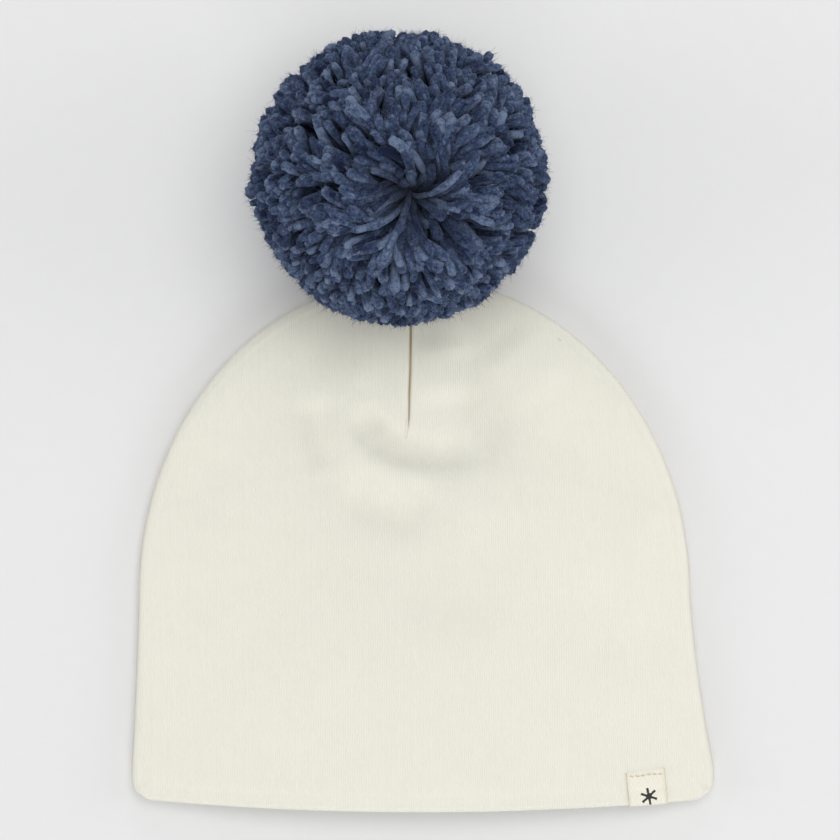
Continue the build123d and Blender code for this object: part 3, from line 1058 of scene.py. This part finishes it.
for part in range(3):
    grow_fuzz(f"pom_fuzz_{part + 1}", fuzz_count // 3, 23 + part, 2.6 * mm, 0.7, 0.06 * mm)
grow_fuzz("pom_loose_fibres", loose_count, 31, 7 * mm, 1.5, 0.045 * mm)

# ---------------------------------------------------------------- care label
# A blank satin tape sewn flat to the lining inside the back, cream and slightly shiny.
care_low, care_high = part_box("care_label")
across, along = 25, 41
grid = np.zeros((along, across, 3))
flat = np.zeros((along, across, 2))
for j in range(along):
    x = np.linspace(care_low.x, care_high.x, across)
    y = np.full(across, care_low.y + (care_high.y - care_low.y) * j / (along - 1))
    lift = 0.5 * mm * (1 - j / (along - 1)) ** 2 * np.cos((x - x[0]) / (9 * mm)) ** 2
    grid[j] = np.stack([x, y, care_low.z + 0.25 * mm + lift], axis=1)
    flat[j] = np.stack([x, y], axis=1)
care_label, _ = write_mesh("care_tape", grid, flat, flip=False)
thicken(care_label, 0.2 * mm)
satin_tape, tree, shader = new_material("satin_tape", 0.38)
where = add_node(tree, "ShaderNodeUVMap")
ridges = add_node(tree, "ShaderNodeTexWave", Scale=900.0, Distortion=0.6, bands_direction="Y")
tree.links.new(where.outputs["UV"], ridges.inputs["Vector"])
colour = blend_colours(tree, ridges.outputs["Fac"], (0.74, 0.72, 0.66, 1), (0.86, 0.85, 0.80, 1))
colour_and_relief(tree, shader, colour, ridges.outputs["Fac"], 0.3, 0.1 * mm)
finish_piece(care_label, satin_tape, "hat", "care_label")

# ---------------------------------------------------------------- care label stitches
# The same beige thread: four stitches along the tape's upper edge, sunk in at both ends, hold
# the tape to the lining and leave its lower end free.
care_stitch_low, care_stitch_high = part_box("care_label_stitches")
spots = []
for k in range(4):
    x = care_low.x + (k + 0.5) * (care_high.x - care_low.x) / 4
    h = (care_stitch_low.y + care_stitch_high.y) / 2 - hem_y
    spots.append((x, h, care_stitch_low.z + 0.05 * mm, 0.1 * (k % 2)))
care_stitches = stitch_row("care_stitches", spots, 1.1 * mm, 0.25 * mm)
finish_piece(care_stitches, thread_colour, "hat", "care_label_stitches")
under = ["lining_back_panel"]

# ---------------------------------------------------------------- tie cord
# Twisted cotton cord the colour of the hat. It comes up through a felt disc inside the crown,
# is wound into a knot on top, and runs on into the pom-pom, where a tight ring of it binds all
# the strands. Two short cut ends lie on the lining below.
cord_material, tree, shader = new_material("cotton_cord", 0.85)
where = add_node(tree, "ShaderNodeTexCoord")
lint = add_noise(tree, where.outputs["Object"], Scale=1800.0, Detail=4.0)
colour = blend_colours(tree, lint, (0.52, 0.49, 0.41, 1), (0.86, 0.83, 0.74, 1))
colour_and_relief(tree, shader, colour, lint, 0.7, 0.15 * mm)
shader.inputs["Sheen Weight"].default_value = 0.3


def cord_piece(name, node, body, start, end, radius, twist_length):
    """A straight length of three-ply cord with rounded ends."""
    start, end = np.array(start), np.array(end)
    length = np.linalg.norm(end - start)
    rings = int(length / (0.35 * mm)) + 24
    bpy.ops.mesh.primitive_uv_sphere_add(segments=18, ring_count=rings, radius=1)
    piece = bpy.context.object
    piece.name = name
    ball = corners_of(piece)
    along = 0.5 - np.arcsin(np.clip(ball[:, 2], -1, 1)) / math.pi
    turn = np.arctan2(ball[:, 1], ball[:, 0])
    place = along * length
    from_end = np.minimum(place, length - place)
    blunt = np.sqrt(np.clip(1 - (1 - np.minimum(from_end / radius, 1)) ** 2, 0, 1))
    ply = 0.88 + 0.12 * np.cos(3 * (turn - place / twist_length * 2 * math.pi))
    wide = radius * blunt * ply
    ahead = (end - start) / length
    across = unit(np.cross(ahead, [0.31, 0.17, 0.93]))
    beside = np.cross(ahead, across)
    points = start + place[:, None] * ahead
    points = points + (wide * np.cos(turn))[:, None] * across + (wide * np.sin(turn))[:, None] * beside
    finish_cord(piece, points, node, body)


def finish_cord(piece, points, node, body):
    """Lays the piece's vertices, turns its faces outward and gives it the cord's finish."""
    piece.data.vertices.foreach_set("co", points.ravel())
    edit_all(bpy.ops.mesh.normals_make_consistent)
    bpy.ops.object.shade_smooth()
    finish_piece(piece, cord_material, body, node)


def cord_ring(name, node, body, centre, axis, ring_radius, radius, turns):
    """Cord wound once round as a closed ring."""
    bpy.ops.mesh.primitive_torus_add(
        major_segments=120, minor_segments=18, major_radius=1, minor_radius=0.25
    )
    piece = bpy.context.object
    piece.name = name
    ring = corners_of(piece)
    way = np.arctan2(ring[:, 1], ring[:, 0])
    out = np.hypot(ring[:, 0], ring[:, 1]) - 1
    turn = np.arctan2(ring[:, 2], out)
    wide = radius * (0.88 + 0.12 * np.cos(3 * turn - turns * way))
    reach = ring_radius + wide * np.cos(turn)
    axis = unit(np.array(axis))
    across = unit(np.cross(axis, [0.31, 0.93, 0.17]))
    beside = np.cross(axis, across)
    points = np.array(centre) + (reach * np.cos(way))[:, None] * across
    points = points + (reach * np.sin(way))[:, None] * beside + (wide * np.sin(turn))[:, None] * axis
    finish_cord(piece, points, node, body)


def wound_knot(name, node, body, centre, radius):
    """A knot drawn tight into a ball, its turns showing as ridges round it."""
    bpy.ops.mesh.primitive_uv_sphere_add(segments=48, ring_count=32, radius=1)
    piece = bpy.context.object
    piece.name = name
    ball = corners_of(piece)
    turn = np.arctan2(ball[:, 1], ball[:, 0])
    lie = np.arcsin(np.clip(ball[:, 2], -1, 1))
    ridge = 0.93 + 0.07 * np.cos(7 * lie + 1.5 * np.sin(2 * turn)) * np.cos(lie)
    points = np.array(centre) + ball * (ridge * radius)[:, None]
    finish_cord(piece, points, node, body)


wrap_low, wrap_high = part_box("tie_wrap")
tie_point = (np.array(wrap_low) + np.array(wrap_high)) / 2
wrap_radius = (wrap_high.x - wrap_low.x) / 2 - 0.6 * mm
cord_ring("knot_wrap", "tie_wrap", "tie_loop", tie_point, (0, 0, 1), wrap_radius, 0.58 * mm, 16)
wound_knot("top_knot", "tie_stem", "tie_cord", tie_point, 2.68 * mm)
cord_piece("pom_cord", None, "tie_cord", tie_point, pom_centre, 1.18 * mm, 7 * mm)
ring_low, ring_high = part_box("pom_binding")
ring_middle = (np.array(ring_low) + np.array(ring_high)) / 2
stem_way = unit(pom_centre - tie_point)
cord_ring("strand_binding", "pom_binding", "pom", ring_middle, stem_way, 6 * mm, 1.15 * mm, 20)
post_low, post_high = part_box("tie_anchor")
post_x, post_y = (post_low.x + post_high.x) / 2, (post_low.y + post_high.y) / 2
post_foot = (post_x, post_y, post_low.z)
post_head = (post_x, post_y, tie_point[2] - 1.6 * mm)
cord_piece("crown_cord", "tie_anchor", "hat", post_foot, post_head, 0.9 * mm, 5 * mm)
knot_low, knot_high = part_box("anchor_knot")
knot_middle = (post_x, post_y, (knot_low.z + knot_high.z) / 2)
wound_knot("inner_knot", "anchor_knot", "hat", knot_middle, (knot_high.z - knot_low.z) / 2)
tail_low, tail_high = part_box("tie_tails")
tail_z = (tail_low.z + tail_high.z) / 2
for name, side, node in (("cut_end_left", -1, "tie_tails"), ("cut_end_right", 1, None)):
    lean = math.radians(28) * side
    start = (post_x + 1.7 * mm * math.sin(lean), post_y - 1.7 * mm * math.cos(lean), tail_z)
    end = (post_x + 13.6 * mm * math.sin(lean), post_y - 13.6 * mm * math.cos(lean), tail_z)
    cord_piece(name, node, "hat", start, end, 0.58 * mm, 4 * mm)

# ---------------------------------------------------------------- backing disc
# Pressed wool felt, round, with the tie cord through its middle. It lies against the lining
# inside the crown and spreads the pull of the pom-pom.
disc_low, disc_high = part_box("backing_disc")
disc_radius = (disc_high.x - disc_low.x) / 2
disc_middle = np.array([(disc_low.x + disc_high.x) / 2, (disc_low.y + disc_high.y) / 2, 0])
bpy.ops.mesh.primitive_uv_sphere_add(segments=64, ring_count=24, radius=1)
disc = bpy.context.object
disc.name = "felt_disc"
ball = corners_of(disc)
flatness = np.hypot(ball[:, 0], ball[:, 1]) ** 0.45
turn = np.arctan2(ball[:, 1], ball[:, 0])
half = 0.68 * mm
points = np.zeros_like(ball)
points[:, 0] = disc_middle[0] + disc_radius * flatness * np.cos(turn)
points[:, 1] = disc_middle[1] + disc_radius * flatness * np.sin(turn)
edge = np.sign(ball[:, 2]) * np.minimum(np.abs(ball[:, 2]) * 3, 1) * half
top = front_top_smooth(points[:, 0], points[:, 1] - hem_y)
points[:, 2] = top - stack - 0.1 * mm - 0.7 * mm + edge
disc.data.vertices.foreach_set("co", points.ravel())
bpy.ops.object.shade_smooth()
felt, tree, shader = new_material("wool_felt", 0.95)
where = add_node(tree, "ShaderNodeTexCoord")
matted = add_noise(tree, where.outputs["Object"], Scale=900.0, Detail=6.0, Roughness=0.75)
colour = blend_colours(tree, matted, (0.55, 0.52, 0.45, 1), (0.84, 0.81, 0.73, 1))
colour_and_relief(tree, shader, colour, matted, 0.8, 0.2 * mm)
finish_piece(disc, felt, "hat", "backing_disc")
